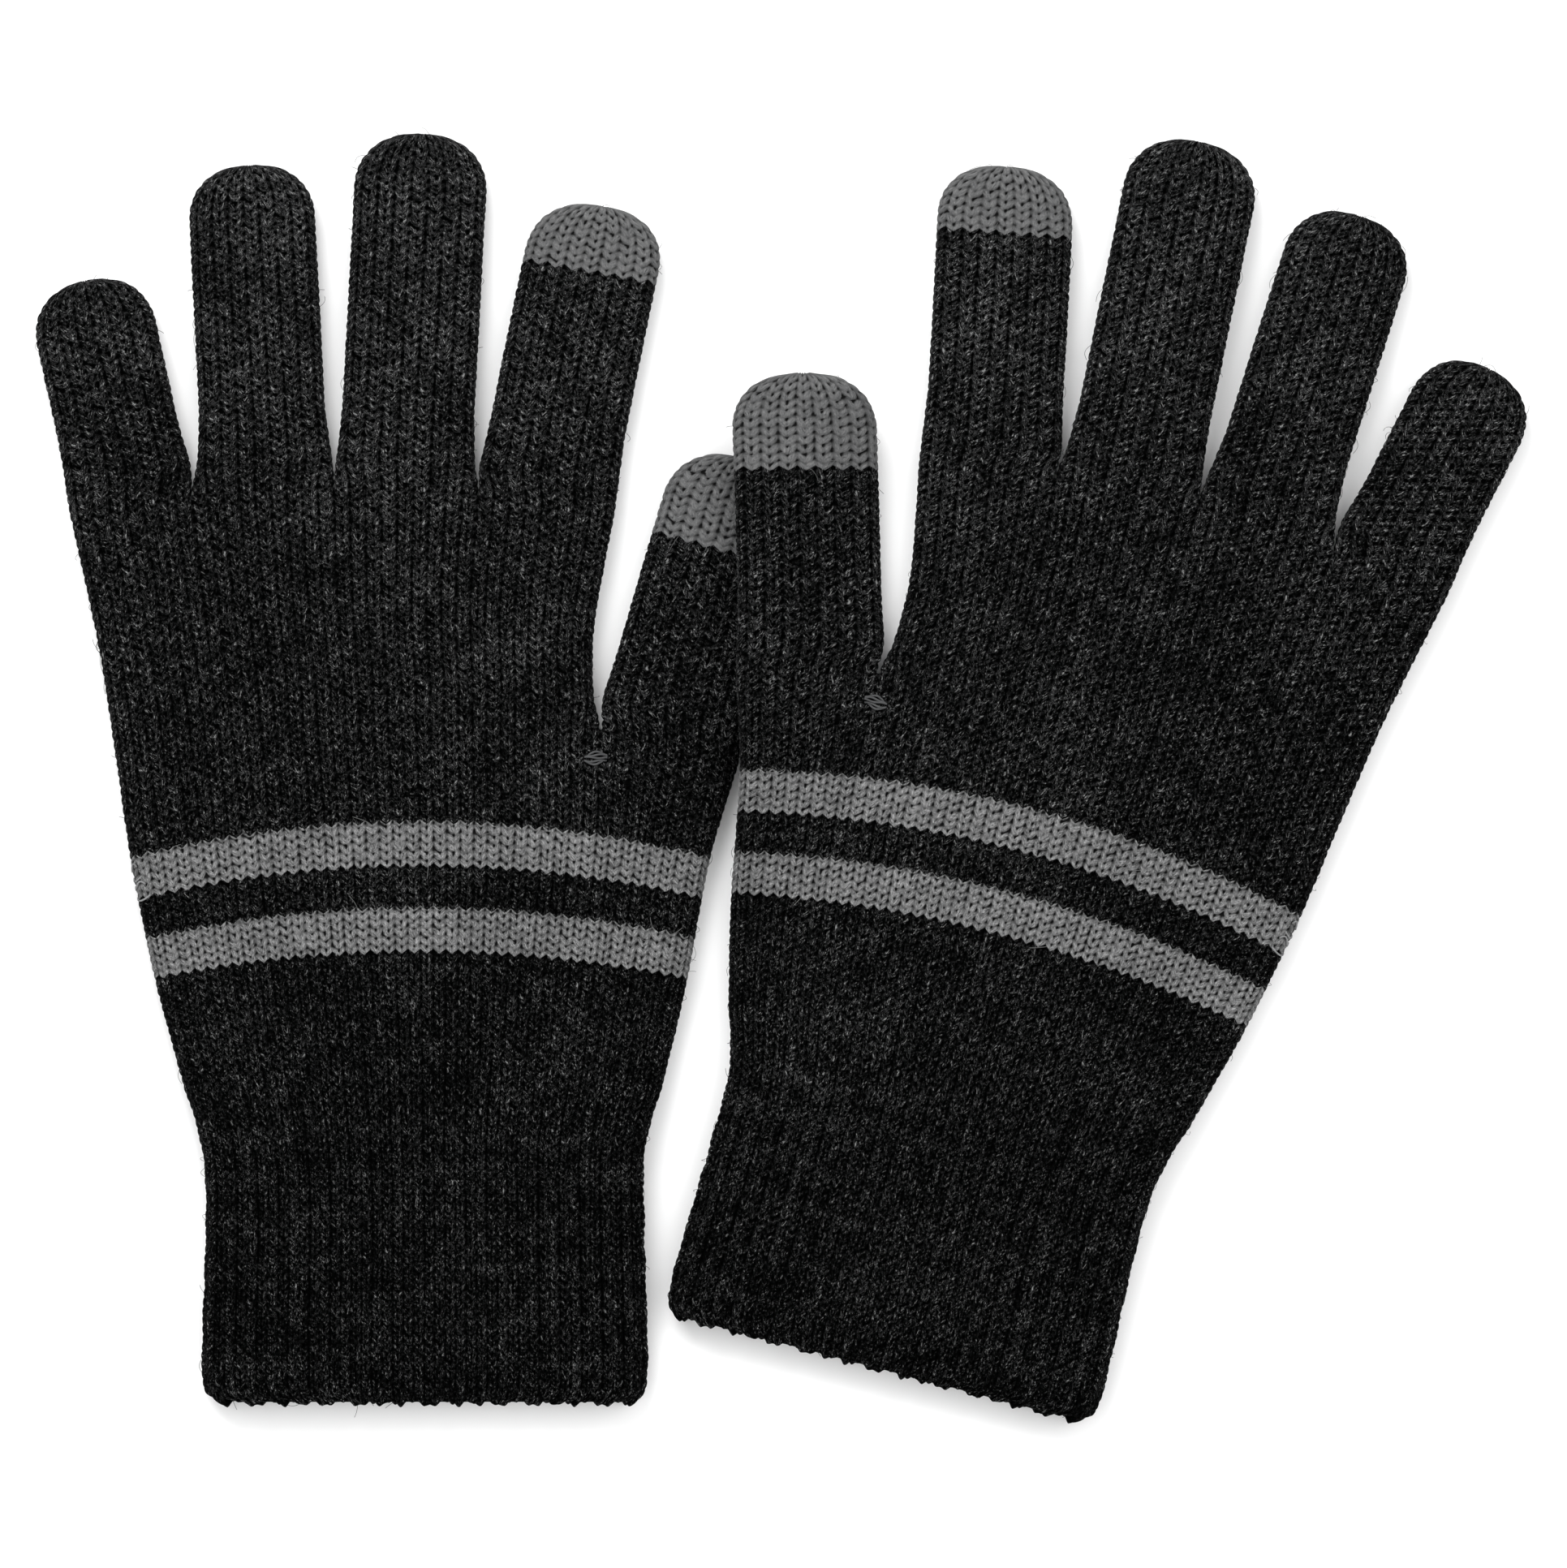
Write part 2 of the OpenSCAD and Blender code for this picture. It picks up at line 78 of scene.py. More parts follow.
FINGERS = ("little", "ring", "middle", "index", "thumb")
LEAN = (-12.5, -2.9, 3.1, 10.2, 15.4)
WIDTH = (23.1, 24.7, 25.2, 25.5, 26.8)
LENGTH = (38.8, 56.1, 61.9, 52.6, 51.3)
WAIST = (0.935, 0.91, 0.938, 0.95, 0.962)   # width past the root, as a share of the root's
BOW = (0.0, 0.0, 0.0, 1.2, 0.8)             # sideways bend of the tip towards the thumb
TIP_LEN = {"index": 13.2, "thumb": 17.5}
THUMB = 4

# ------------------------------------------------------------------ the knitting
FINGER_WALES = (8, 9, 9, 9, 9)      # columns of stitches across a finger's front
HAND_WALES = sum(FINGER_WALES)
BAND_WALES = sum(FINGER_WALES[:4])
WALE_MM, COURSE_MM = 2.7, 1.63
PER_WALE, PER_COURSE = 8, 6         # mesh steps in a stitch
ZIGZAG = 0.55                       # courses that a row of stitches rises at a wale's sides
STITCH_MM = 0.55                    # depth of a stitch
FIBRE_R, FIBRE_POINTS = 0.035, 7    # loose fibres
FIBRES_PER_STITCH = 0.09
FABRIC = 1.25
EDGE_ROUND = 3.1                    # width of a tube's rounded side
SKIN = 0.3                          # room left for the stitches inside the CAD shape

# courses, counted from the cuff's edge, at which the glove changes
C_EDGE, C_CUFF, C_STRIPE = 3, 30, 50
STRIPE_COURSES = 5
C_PALM = C_STRIPE + 3 * STRIPE_COURSES
C_FORK, C_KNUCKLE = 77, 102

rng = np.random.default_rng(SEED)
HASH = rng.random(8192)
WAVES = rng.uniform(-1, 1, (9, 4))


def smooth(t):
    t = np.clip(t, 0, 1)
    return t * t * (3 - 2 * t)


def hashed(a, b, salt=0):
    """A random number from 0 to 1 for each pair of whole numbers."""
    index = a.astype(np.int64) * 7919 + b.astype(np.int64) * 104729 + salt * 1299709
    return HASH[index % len(HASH)]


def direction(f):
    a = math.radians(LEAN[f])
    return np.array([math.sin(a), math.cos(a)]), np.array([math.cos(a), -math.sin(a)])


# the knuckle line: one straight stretch square to each finger
knuckles = [np.zeros(2)]
for f in range(4):
    knuckles.append(knuckles[-1] + (WIDTH[f] + JOINT_GAP) * direction(f)[1])
knuckles = np.array(knuckles)
knuckles += np.array([-KNUCKLE_DRIFT - knuckles[4, 0] / 2, KNUCKLE_Y])
thumb_root = np.array([FORK, FORK + (WIDTH[THUMB] + JOINT_GAP) * direction(THUMB)[1]])


# ------------------------------------------------------------------ rows across the hand

def plain_row(left, right, y, rise):
    """A row as a function from 0..1 across the hand to points."""
    def row(s):
        return np.stack([left + (right - left) * s, y + rise * (1 - (2 * s - 1) ** 2)], -1)
    return row


def band_row(left, right, y_left, y_mid, y_right):
    """A row of the knuckle band, through three heights."""
    def row(s):
        x = left + (right - left) * s
        y = y_left * (1 - s) * (1 - 2 * s) + y_mid * 4 * s * (1 - s) + y_right * s * (2 * s - 1)
        return np.stack([x, y], -1)
    return row


FORK_BAND = band_row(-57.3, FORK[0], 121.0, 127.6, FORK[1])


def fork_row(s):
    """The row at the thumb's fork: the band's part, then the thumb's root."""
    wale = s * HAND_WALES
    band = FORK_BAND(np.minimum(wale / BAND_WALES, 1))
    t = np.maximum(wale - BAND_WALES, 0) / FINGER_WALES[THUMB]
    return band + t[..., None] * (thumb_root[1] - thumb_root[0])


def knuckle_row(s):
    stops = np.cumsum((0,) + FINGER_WALES[:4]) / BAND_WALES
    return np.stack([np.interp(s, stops, knuckles[:, 0]), np.interp(s, stops, knuckles[:, 1])], -1)


HAND_ROWS = [
    (0, plain_row(-37.6, 37.9, 0.35, 0)),
    (1.3, plain_row(-40.3, 40.2, 2.1, 0)),
    (3.5, plain_row(-41.0, 40.9, 5.8, 0)),
    (22, plain_row(-40.4, 40.3, 36, 0)),
    (30, plain_row(-41.3, 40.7, 48, 0.4)),
    (37.5, plain_row(-44.8, 44.0, 60, 2.0)),
    (C_STRIPE, plain_row(-49.8, 48.3, 78.5, 4.9)),
    (C_PALM, plain_row(-54.3, 52.5, 100.7, 6.6)),
    (C_FORK, fork_row),
]
BAND_ROWS = [
    (C_FORK, FORK_BAND),
    (88, band_row(-60.2, 31.0, 139.6, 146.4, 142.4)),
    (C_KNUCKLE, knuckle_row),
]
THICKNESS = ([0, 3, 30, 42, 300], [CUFF_T - 0.9, CUFF_T - 0.2, CUFF_T - 0.2, FLAT_T, FLAT_T])


def through_rows(rows, s, c):
    """The point at s across and course c, on smooth curves through the rows."""
    at = [r[0] for r in rows]
    p = [r[1](s) for r in rows]
    slopes = []
    for i in range(len(rows)):
        lo, hi = max(i - 1, 0), min(i + 1, len(rows) - 1)
        slopes.append((p[hi] - p[lo]) / (at[hi] - at[lo]))
    out = np.zeros(s.shape + (2,))
    k = np.clip(np.searchsorted(at, c, side="right") - 1, 0, len(rows) - 2)
    for i in range(len(rows) - 1):
        here = k == i
        if not here.any():
            continue
        h = at[i + 1] - at[i]
        t = ((c[here] - at[i]) / h)[:, None]
        out[here] = ((2 * t**3 - 3 * t**2 + 1) * p[i][here] + (t**3 - 2 * t**2 + t) * h * slopes[i][here]
                     + (3 * t**2 - 2 * t**3) * p[i + 1][here] + (t**3 - t**2) * h * slopes[i + 1][here])
    return out


def wrap(n, wales, width, round_left, round_right):
    """Where wale n lies on a flat tube: its share of the width, and how far it is up the rounded side."""
    quarter = math.pi / 2 * EDGE_ROUND
    e = np.minimum(EDGE_ROUND, 0.49 * width)
    el, er = e * round_left, e * round_right
    ql, qr = quarter * e / EDGE_ROUND * round_left, quarter * e / EDGE_ROUND * round_right
    total = width - el - er + ql + qr
    s = n / wales * total
    left = np.clip(s / np.maximum(ql, 1e-6), 0, 1) * math.pi / 2
    right = np.clip((total - s) / np.maximum(qr, 1e-6), 0, 1) * math.pi / 2
    x = np.where(s < ql, el * (1 - np.cos(left)),
                 np.where(s > total - qr, width - er * (1 - np.cos(right)), el + s - ql))
    return x / width, np.sin(left) * np.sin(right)


def fold(m, wales):
    """The wale on the front and the side, +1 front and -1 back, of a place m round a tube."""
    m = np.mod(m, 2 * wales)
    front = m <= wales
    return np.where(front, m, 2 * wales - m), np.where(front, 1.0, -1.0)


def solid_point(xy, up, side, thick):
    """A point of a tube whose base rests a stitch above the table."""
    z = SKIN + (thick - 2 * SKIN) * (0.5 + 0.5 * side * up)
    return np.concatenate([xy, z[..., None]], -1)


def hand_point(m, c):
    n, side = fold(m, HAND_WALES)
    cc = np.clip(c, 0, C_FORK)
    ends = np.array([0.0, 1.0])
    widths = [np.linalg.norm(r[1](ends)[1] - r[1](ends)[0]) for r in HAND_ROWS]
    s, up = wrap(n, HAND_WALES, np.interp(cc, [r[0] for r in HAND_ROWS], widths), 1.0, 1.0)
    return solid_point(through_rows(HAND_ROWS, s, cc), up, side, np.interp(cc, *THICKNESS))


def joined(point, lower, wales, first_wale, lower_wales, start, fade=4.0):
    """point, moved near its start so that it leaves the lower tube where that tube's own stitches are."""
    def moved(m, c):
        out = point(m, c)
        near = c < start + fade
        if near.any():
            n, side = fold(m[near], wales)
            below = np.where(side > 0, first_wale + n, 2 * lower_wales - first_wale - n)
            at = np.full(n.shape, float(start))
            shift = lower(below, at) - point(m[near], at)
            edge = np.minimum(n, wales - n)
            shift[:, 2] *= np.clip(edge / 0.25, 0, 1)
            out[near] += (1 - smooth((c[near] - start) / fade))[:, None] * shift
        return out
    return moved


def band_own(m, c):
    n, side = fold(m, BAND_WALES)
    cc = np.clip(c, C_FORK, C_KNUCKLE)
    s, up = wrap(n, BAND_WALES, np.interp(cc, [C_FORK, C_KNUCKLE], [89.0, 100.0]),
                 1.0, smooth((cc - C_FORK) / 4 + 0.05))
    return solid_point(through_rows(BAND_ROWS, s, cc), up, side, np.full(c.shape, FLAT_T))


band_point = joined(band_own, hand_point, BAND_WALES, 0, HAND_WALES, C_FORK)


def finger_start(f):
    return C_FORK if f == THUMB else C_KNUCKLE


def finger_point(f):
    """The tube of finger f, which goes on from the knuckle line or the thumb's root."""
    root = thumb_root if f == THUMB else knuckles[f:f + 2]
    along, across = direction(f)
    wales, start = FINGER_WALES[f], finger_start(f)
    base_w = np.linalg.norm(root[1] - root[0])
    length = LENGTH[f] + REACH
    outer_left = 1.0 if f == 0 else None
    outer_right = 1.0 if f in (3, THUMB) else None

    def own(m, c):
        n, side = fold(m, wales)
        v = np.clip((c - start) * COURSE_MM, 0, length - 0.02)
        left = (length - v) / TIP_ROUND
        end = np.where(left < 1, (1 - (1 - np.minimum(left, 1)) ** 2.3) ** (1 / 2.3), 1)
        width = base_w * (1 - (1 - WAIST[f]) * smooth(v / 17)) * np.maximum(end, 0.05)
        opening = smooth(v / 7 + 0.03)
        s, up = wrap(n, wales, width,
                     outer_left if outer_left else opening, outer_right if outer_right else opening)
        bow = BOW[f] * (v / length) ** 2
        xy = (root.mean(0) + v[..., None] * along
              + ((s - 0.5) * width + bow)[..., None] * across)
        close = np.sqrt(1 - (1 - np.clip((length - v) / 3.6, 0, 1)) ** 2)
        p = solid_point(xy, up, side, np.full(c.shape, FLAT_T))
        p[..., 2] = FLAT_T / 2 + (p[..., 2] - FLAT_T / 2) * np.maximum(close, 0.06)
        return p

    lower, lower_wales = (hand_point, HAND_WALES) if f == THUMB else (band_point, BAND_WALES)
    first = BAND_WALES if f == THUMB else sum(FINGER_WALES[:f])
    return joined(own, lower, wales, first, lower_wales, start)


finger_points = [finger_point(f) for f in range(5)]


# ------------------------------------------------------------------ the pair

def turned(x, y):
    a = math.radians(PAIR_TURN)
    return -x * math.cos(a) + y * math.sin(a), x * math.sin(a) + y * math.cos(a)


def lift(x, y):
    """How high the right glove is lifted by the left thumb, as in the CAD model."""
    along, across = direction(THUMB)
    start = thumb_root[1] - 17.8 * along
    qx, qy = x - start[0], y - start[1]
    inside = -(qx * across[0] + qy * across[1])
    up = qx * along[0] + qy * along[1]
    slope = 26 - 11 * np.clip((up - 18) / 44, 0, 1)
    rise = np.sin(math.pi / 2 * np.clip((up + 9) / 40, 0, 1)) * np.clip((LENGTH[THUMB] + 52 - up) / 14, 0, 1)
    return (FLAT_T + THUMB_AIR) * rise * smooth_ramp((inside + slope - 2) / slope)


def smooth_ramp(t):
    """A ramp from 0 to 1 with its two corners eased."""
    t = np.clip(t, 0, 1)
    return 0.75 * t + 0.25 * smooth(t)


cuff_low, cuff_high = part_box("left_cuff_edge")
LEFT_ORIGIN = np.array([(cuff_low.x + cuff_high.x) / 2, cuff_low.y]) / MM


def place(side, p):
    """Points of a glove's own frame in the pair's frame, in millimetres."""
    x, y, z = p[..., 0], p[..., 1], p[..., 2]
    if side == "right":
        x, y = turned(x, y)
        x, y = x + PAIR_OFFSET[0], y + PAIR_OFFSET[1]
        z = z + lift(x, y)
    return np.stack([x + LEFT_ORIGIN[0], y + LEFT_ORIGIN[1], z], -1)


# ------------------------------------------------------------------ stitches

def stitches(w, c):
    """Height of the nearest stitch leg, its tone, and the place along and across it."""
    wale = np.floor(w)
    u = w - wale - 0.5
    a = np.abs(u)
    leg = wale * 2 + (u > 0)
    best = np.full(w.shape, -9.0)
    tone, across_out, along_out = (np.zeros(w.shape) for _ in range(3))
    # each V has one long slanted leg and one short steep one
    tilt = np.where(u > 0, math.radians(21), math.radians(35))
    middle = np.where(u > 0, 0.235, 0.255)
    thick = np.where(u > 0, 0.6, 0.66)
    base = np.floor(c)
    for dk in (-1, 0, 1):
        k = base + dk
        jx = (hashed(leg, k, 1) - 0.5) * 0.16
        jy = (hashed(leg, k, 2) - 0.5) * 0.30
        jt = (hashed(leg, k, 3) - 0.5) * 0.34
        x = (a - middle + jx * 0.35) * WALE_MM
        y = (c - k - 0.5 + jy * 0.5) * COURSE_MM
        along = x * np.sin(tilt + jt) + y * np.cos(tilt + jt)
        across = x * np.cos(tilt + jt) - y * np.sin(tilt + jt)
        width = thick * (0.88 + 0.26 * hashed(leg, k, 7))
        r = (along / 1.32) ** 2 + (across / width) ** 2
        h = np.sqrt(np.maximum(0, 1 - r)) - 0.22 * along + 0.2 * (hashed(leg, k, 4) - 0.5)
        h = np.where(r < 1, h, -0.35 * r)
        take = h > best
        best = np.where(take, h, best)
        tone = np.where(take, hashed(leg, k, 5), tone)
        across_out = np.where(take, across, across_out)
        along_out = np.where(take, along + 3 * hashed(leg, k, 6), along_out)
    return np.clip(best, -0.6, 1.35), tone, across_out, along_out


def gathers(m, c):
    """How far the cuff's fabric stands out where the elastic gathers it, in mm."""
    around = np.cos(math.pi * m + 1.6 * np.sin(0.31 * m) + 0.05 * c)
    strength = 0.5 + 0.5 * np.sin(0.17 * m + 0.9) * np.sin(0.11 * c + 0.4 * np.sin(0.4 * m))
    rows = np.cos(2 * math.pi * c / 5.2 + 0.7 * np.sin(0.23 * m))
    return (0.3 * around * strength + 0.1 * rows) * smooth((C_STRIPE - 8 - c) / 14) * smooth((c + 1) / 4)


def waviness(p):
    """A slow unevenness of the lying fabric, from -1 to 1."""
    x, y = p[..., 0], p[..., 1]
    total = np.zeros(x.shape)
    for a, b, phase, weight in WAVES:
        total += weight * np.sin(0.16 * (a * x + b * y) + 3 * phase)
    return total / 4


# ------------------------------------------------------------------ mesh pieces

def make_mesh(name, verts, quads, smooth_shade=True):
    mesh = bpy.data.meshes.new(name)
    mesh.vertices.add(len(verts))
    mesh.vertices.foreach_set("co", np.ascontiguousarray(verts, np.float32).ravel())
    mesh.loops.add(quads.size)
    mesh.loops.foreach_set("vertex_index", np.ascontiguousarray(quads, np.int32).ravel())
    mesh.polygons.add(len(quads))
    mesh.polygons.foreach_set("loop_start", np.arange(0, quads.size, 4, dtype=np.int32))
    mesh.polygons.foreach_set("use_smooth", np.full(len(quads), smooth_shade))
    mesh.update(calc_edges=True)
    obj = bpy.data.objects.new(name, mesh)
    bpy.context.scene.collection.objects.link(obj)
    return obj


def set_attribute(mesh, name, kind, values, key="value"):
    mesh.attributes.new(name, kind, "POINT").data.foreach_set(
        key, np.ascontiguousarray(values, np.float32).ravel())


def surface(point, side, m, c, depth):
    """Points of a tube in the pair's frame, their normals, and the facts of the stitches that stand on them."""
    step = 0.06
    p = place(side, point(m, c))
    du = place(side, point(m + step, c)) - place(side, point(m - step, c))
    dv = place(side, point(m, c + step)) - place(side, point(m, c - step))
    normal = np.cross(du, dv) * (1 if side == "left" else -1)
    normal /= np.maximum(np.linalg.norm(normal, axis=-1, keepdims=True), 1e-9)
    h, tone, across, along = stitches(m, c)
    return p, normal, h, tone, across, along


CAPS = {4: [(0, 1, 2, 3)], 6: [(0, 1, 2, 3), (0, 3, 4, 5)]}


def rods(paths, radius, sides=4, closed=False):
    """Vertices and faces of round tubes along paths, an array of tubes by points by 3."""
    count, length = paths.shape[:2]
    if closed:
        t = np.roll(paths, -1, 1) - np.roll(paths, 1, 1)
    else:
        t = np.gradient(paths, axis=1)
    t /= np.maximum(np.linalg.norm(t, axis=-1, keepdims=True), 1e-9)
    reference = np.where(np.abs(t[..., 2:3]) > 0.9, [1.0, 0, 0], [0, 0, 1.0])
    a = np.cross(t, reference)
    a /= np.linalg.norm(a, axis=-1, keepdims=True)
    b = np.cross(t, a)
    angle = 2 * math.pi * np.arange(sides) / sides
    ring = (np.cos(angle)[:, None] * a[:, :, None] + np.sin(angle)[:, None] * b[:, :, None])
    verts = (paths[:, :, None] + np.broadcast_to(radius, (count, length))[:, :, None, None] * ring).reshape(-1, 3)
    k = np.arange(sides)
    last = length if closed else length - 1
    start = (np.arange(count)[:, None] * length + np.arange(last)[None, :])
    following = np.arange(count)[:, None] * length + (np.arange(last)[None, :] + 1) % length
    lo, hi = start.reshape(-1, 1) * sides, following.reshape(-1, 1) * sides
    quads = [np.stack([lo + k, lo + (k + 1) % sides, hi + (k + 1) % sides, hi + k], -1).reshape(-1, 4)]
    if not closed:
        first = np.arange(count) * length * sides
        for cap in CAPS[sides]:
            quads.append(np.stack([first + i for i in cap[::-1]], -1))
            quads.append(np.stack([first + (length - 1) * sides + i for i in cap], -1))
    return verts, np.concatenate(quads)


def loose_fibres(p, normal, count):
    """Paths of short fibres that stand off the knitting and curl back."""
    n = len(p)
    pick = rng.integers(0, n, count)
    along = rng.normal(size=(count, 3))
    n0 = normal[pick]
    along -= (along * n0).sum(-1, keepdims=True) * n0
    along /= np.maximum(np.linalg.norm(along, axis=-1, keepdims=True), 1e-9)
    side = np.cross(n0, along)
    t = np.linspace(0, 1, FIBRE_POINTS)[None, :, None]
    length = rng.uniform(1.2, 3.4, (count, 1, 1))
    height = rng.uniform(0.15, 0.75, (count, 1, 1))
    curl = rng.uniform(-1.2, 1.2, (count, 1, 1))
    path = (p[pick][:, None] + along[:, None] * t * length + side[:, None] * curl * t ** 2
            + n0[:, None] * (height * np.sin(math.pi * t) + 0.1))
    path[..., 2] = np.maximum(path[..., 2], FIBRE_R * 1.5)
    return path


def knit(name, side, point, wales, c0, c1, closed=False, purl_inside=False, zig0=ZIGZAG, zig1=ZIGZAG,
         scallop=False):
    """A closed shell of knitting on a tube from course c0 to c1."""
    cols = 2 * wales * PER_WALE
    rows = int(round((c1 - c0) * PER_COURSE)) + 1
    m = np.arange(cols) / PER_WALE
    share = np.linspace(0, 1, rows)
    zig = np.abs(2 * (m - np.floor(m)) - 1)
    amount = zig0 + (zig1 - zig0) * share
    c = c0 + (c1 - c0) * share[:, None] + amount[:, None] * zig[None, :]
    mm = np.broadcast_to(m, c.shape)
    p, normal, h, tone, across, along = (a.reshape((rows, cols) + a.shape[1:])
                                         for a in surface(point, side, mm.ravel(), c.ravel(), STITCH_MM))
    top = normal[..., 2:3]
    p = p + np.array([0, 0, 1.0]) * (0.28 * waviness(p) * np.maximum(top[..., 0], 0))[..., None]
    gather = gathers(mm, c)
    p = p + normal * gather[..., None]
    outer = p + normal * ((h - 0.55) * STITCH_MM)[..., None]
    if scallop:
        wave = 0.55 * np.sin(m * 2.45 + 1.3 * np.sin(m * 0.7)) + 0.3 * np.sin(m * 5.3 + 2)
        drop = wave[None, :] * (1 - smooth(share * 1.6))[:, None]
        out_dir = place(side, np.array([[0.0, 0, 0], [0, 1.0, 0]]))
        outer[..., :2] += drop[..., None] * (out_dir[1] - out_dir[0])[:2] * 0.8
    outer[..., 2] = np.maximum(outer[..., 2], 0.02)

    inner_rows = rows if purl_inside else max(3, rows // 6)
    pick = np.round(np.linspace(0, rows - 1, inner_rows)).astype(int)
    room = np.minimum(FABRIC, 0.6 * np.ptp(p[pick][..., 2], axis=1) / 2)[:, None, None]
    inner = p[pick] - normal[pick] * room
    if purl_inside:
        hump = 0.16 * np.sin(2 * math.pi * c[pick])[..., None]
        inner = inner - normal[pick] * hump

    verts = np.concatenate([outer.reshape(-1, 3), inner.reshape(-1, 3)]) * MM
    base = rows * cols
    i = np.arange(cols)
    j = (i + 1) % cols

    def strip(a, b):
        """Quads between the rows that start at vertices a and b."""
        return np.stack([a + i, a + j, b + j, b + i], -1)

    quads = [strip(r * cols, (r + 1) * cols) for r in range(rows - 1)]
    quads += [strip(base + (r + 1) * cols, base + r * cols) for r in range(inner_rows - 1)]
    quads.append(strip(base, 0))
    last_out, last_in = (rows - 1) * cols, base + (inner_rows - 1) * cols
    if closed:
        half = cols // 2
        k = np.arange(1, half - 1)
        zip_out = np.stack([last_out + k, last_out + k + 1,
                            last_out + cols - k - 1, last_out + cols - k], -1)
        zip_in = np.stack([last_in + k, last_in + cols - k,
                           last_in + cols - k - 1, last_in + k + 1], -1)
        quads += [zip_out, zip_in]
    else:
        quads.append(strip(last_out, last_in))
    quads = np.concatenate(quads)
    if side == "right":
        quads = quads[:, ::-1]
    loose = int(FIBRES_PER_STITCH * 2 * wales * (c1 - c0))
    fibre_verts, fibre_quads = rods(loose_fibres(outer.reshape(-1, 3), normal.reshape(-1, 3), loose), FIBRE_R)
    quads = np.concatenate([quads, fibre_quads + len(verts)])
    verts = np.concatenate([verts, fibre_verts * MM])
    if closed:
        tris = []
        for start, turn in ((last_out, False), (last_in, True)):
            for a, b, d in ((0, 1, cols - 1), (cols // 2, cols // 2 + 1, cols // 2 - 1)):
                t = [start + a, start + b, start + d]
                tris.append(t[::-1] if turn != (side == "right") else t)
    obj = make_mesh(name, verts, quads)
    if closed:
        import bmesh
        bm = bmesh.new()
        bm.from_mesh(obj.data)
        bm.verts.ensure_lookup_table()
        for t in tris:
            face = bm.faces.new([bm.verts[v] for v in t])
            face.smooth = True
        bm.to_mesh(obj.data)
        bm.free()
    mesh = obj.data

    def spread(values, lining, fibres):
        return np.concatenate([values.ravel(), np.full(inner_rows * cols, lining),
                               np.full(len(fibre_verts), fibres)])

    # the stitch height here sets the painted gap shade; 0.8 per mm of the cuff's gathers is added as a painted
    # lightening of the gather ridges, and the lining's low height of 0.3 takes the painted gap shade too
    set_attribute(mesh, "knit_height_shade", "FLOAT", spread(h + 0.8 * gather, 0.3, 1))
    set_attribute(mesh, "tone", "FLOAT", spread(tone, 0.4, 0.9))
    fibre = np.stack([spread(across, 0, 0), spread(along, 0, 0), spread(tone * 37, 1, 5)], -1)
    set_attribute(mesh, "fibre", "FLOAT_VECTOR", fibre, "vector")
    add_bake_uv(mesh, rows, cols, inner_rows)
    return obj


def add_bake_uv(mesh, rows, cols, inner_rows):
    """A grid UV map: the outer face in most of the square, then a strip of lining and one of loose fibres."""
    index = np.empty(len(mesh.loops), np.int32)
    mesh.loops.foreach_get("vertex_index", index)
    outside = index < rows * cols
    fibre = index >= (rows + inner_rows) * cols
    local = np.where(outside, index, index - rows * cols)
    col, row = local % cols, local // cols
    start = np.empty(len(mesh.polygons), np.int32)
    total = np.empty(len(mesh.polygons), np.int32)
    mesh.polygons.foreach_get("loop_start", start)
    mesh.polygons.foreach_get("loop_total", total)
    poly = np.repeat(np.arange(len(start)), total)
    low = np.full(len(start), cols)
    high = np.zeros(len(start), int)
    np.minimum.at(low, poly, col)
    np.maximum.at(high, poly, col)
    wraps = (high - low)[poly] > cols // 2
    u = np.where(wraps & (col == 0), cols, col) / cols
    v = np.where(outside, 0.01 + 0.85 * row / (rows - 1), 0.88 + 0.09 * row / max(inner_rows - 1, 1))
    v = np.where(fibre, 0.98 + 0.004 * (index // 4 % 2) + 0.002 * (index % 2), v)
    uv = mesh.uv_layers.new(name="OFBake")
    uv.data.foreach_set("uv", np.stack([0.005 + 0.99 * u, v], -1).astype(np.float32).ravel())


# ------------------------------------------------------------------ materials

class Nodes:
    """A short way to wire a material's nodes."""

    def __init__(self, name):
        self.material = bpy.data.materials.new(name)
        self.material.use_nodes = True
        self.tree = self.material.node_tree
        self.tree.nodes.clear()

    def node(self, kind, **values):
        n = self.tree.nodes.new(kind)
        for key, value in values.items():
            setattr(n, key, value)
        return n

    def link(self, a, b):
        self.tree.links.new(a, b)

    def math(self, op, a, b=None, c=None, clamp=False):
        n = self.node("ShaderNodeMath", operation=op, use_clamp=clamp)
        for socket, value in zip(n.inputs, (a, b, c)):
            if value is None:
                continue
            if isinstance(value, (int, float)):
                socket.default_value = value
            else:
                self.link(value, socket)
        return n.outputs[0]

    def attribute(self, name, output="Fac"):
        return self.node("ShaderNodeAttribute", attribute_name=name).outputs[output]

    def noise(self, vector, scale, detail=2.0, roughness=0.5):
        n = self.node("ShaderNodeTexNoise")
        self.link(vector, n.inputs["Vector"])
        n.inputs["Scale"].default_value = scale
        n.inputs["Detail"].default_value = detail
        n.inputs["Roughness"].default_value = roughness
        return n.outputs["Fac"]

    def scaled(self, vector, x, y, z):
        n = self.node("ShaderNodeMapping", vector_type="POINT")
        self.link(vector, n.inputs["Vector"])
        n.inputs["Scale"].default_value = (x, y, z)
        return n.outputs[0]

    def ramp(self, value, stops):
        n = self.node("ShaderNodeValToRGB")
        self.link(value, n.inputs[0])
        ramp = n.color_ramp
        while len(ramp.elements) < len(stops):
            ramp.elements.new(0.5)
        for e, (at, colour) in zip(ramp.elements, stops):
            e.position = at
            e.color = (*colour, 1)
        return n.outputs[0]

    def mix(self, fac, a, b):
        n = self.node("ShaderNodeMix", data_type="RGBA")
        for socket, value in zip((n.inputs[0], n.inputs[6], n.inputs[7]), (fac, a, b)):
            if isinstance(value, (int, float)):
                socket.default_value = value
            elif isinstance(value, tuple):
                socket.default_value = (*value, 1)
            else:
                self.link(value, socket)
        return n.outputs[2]


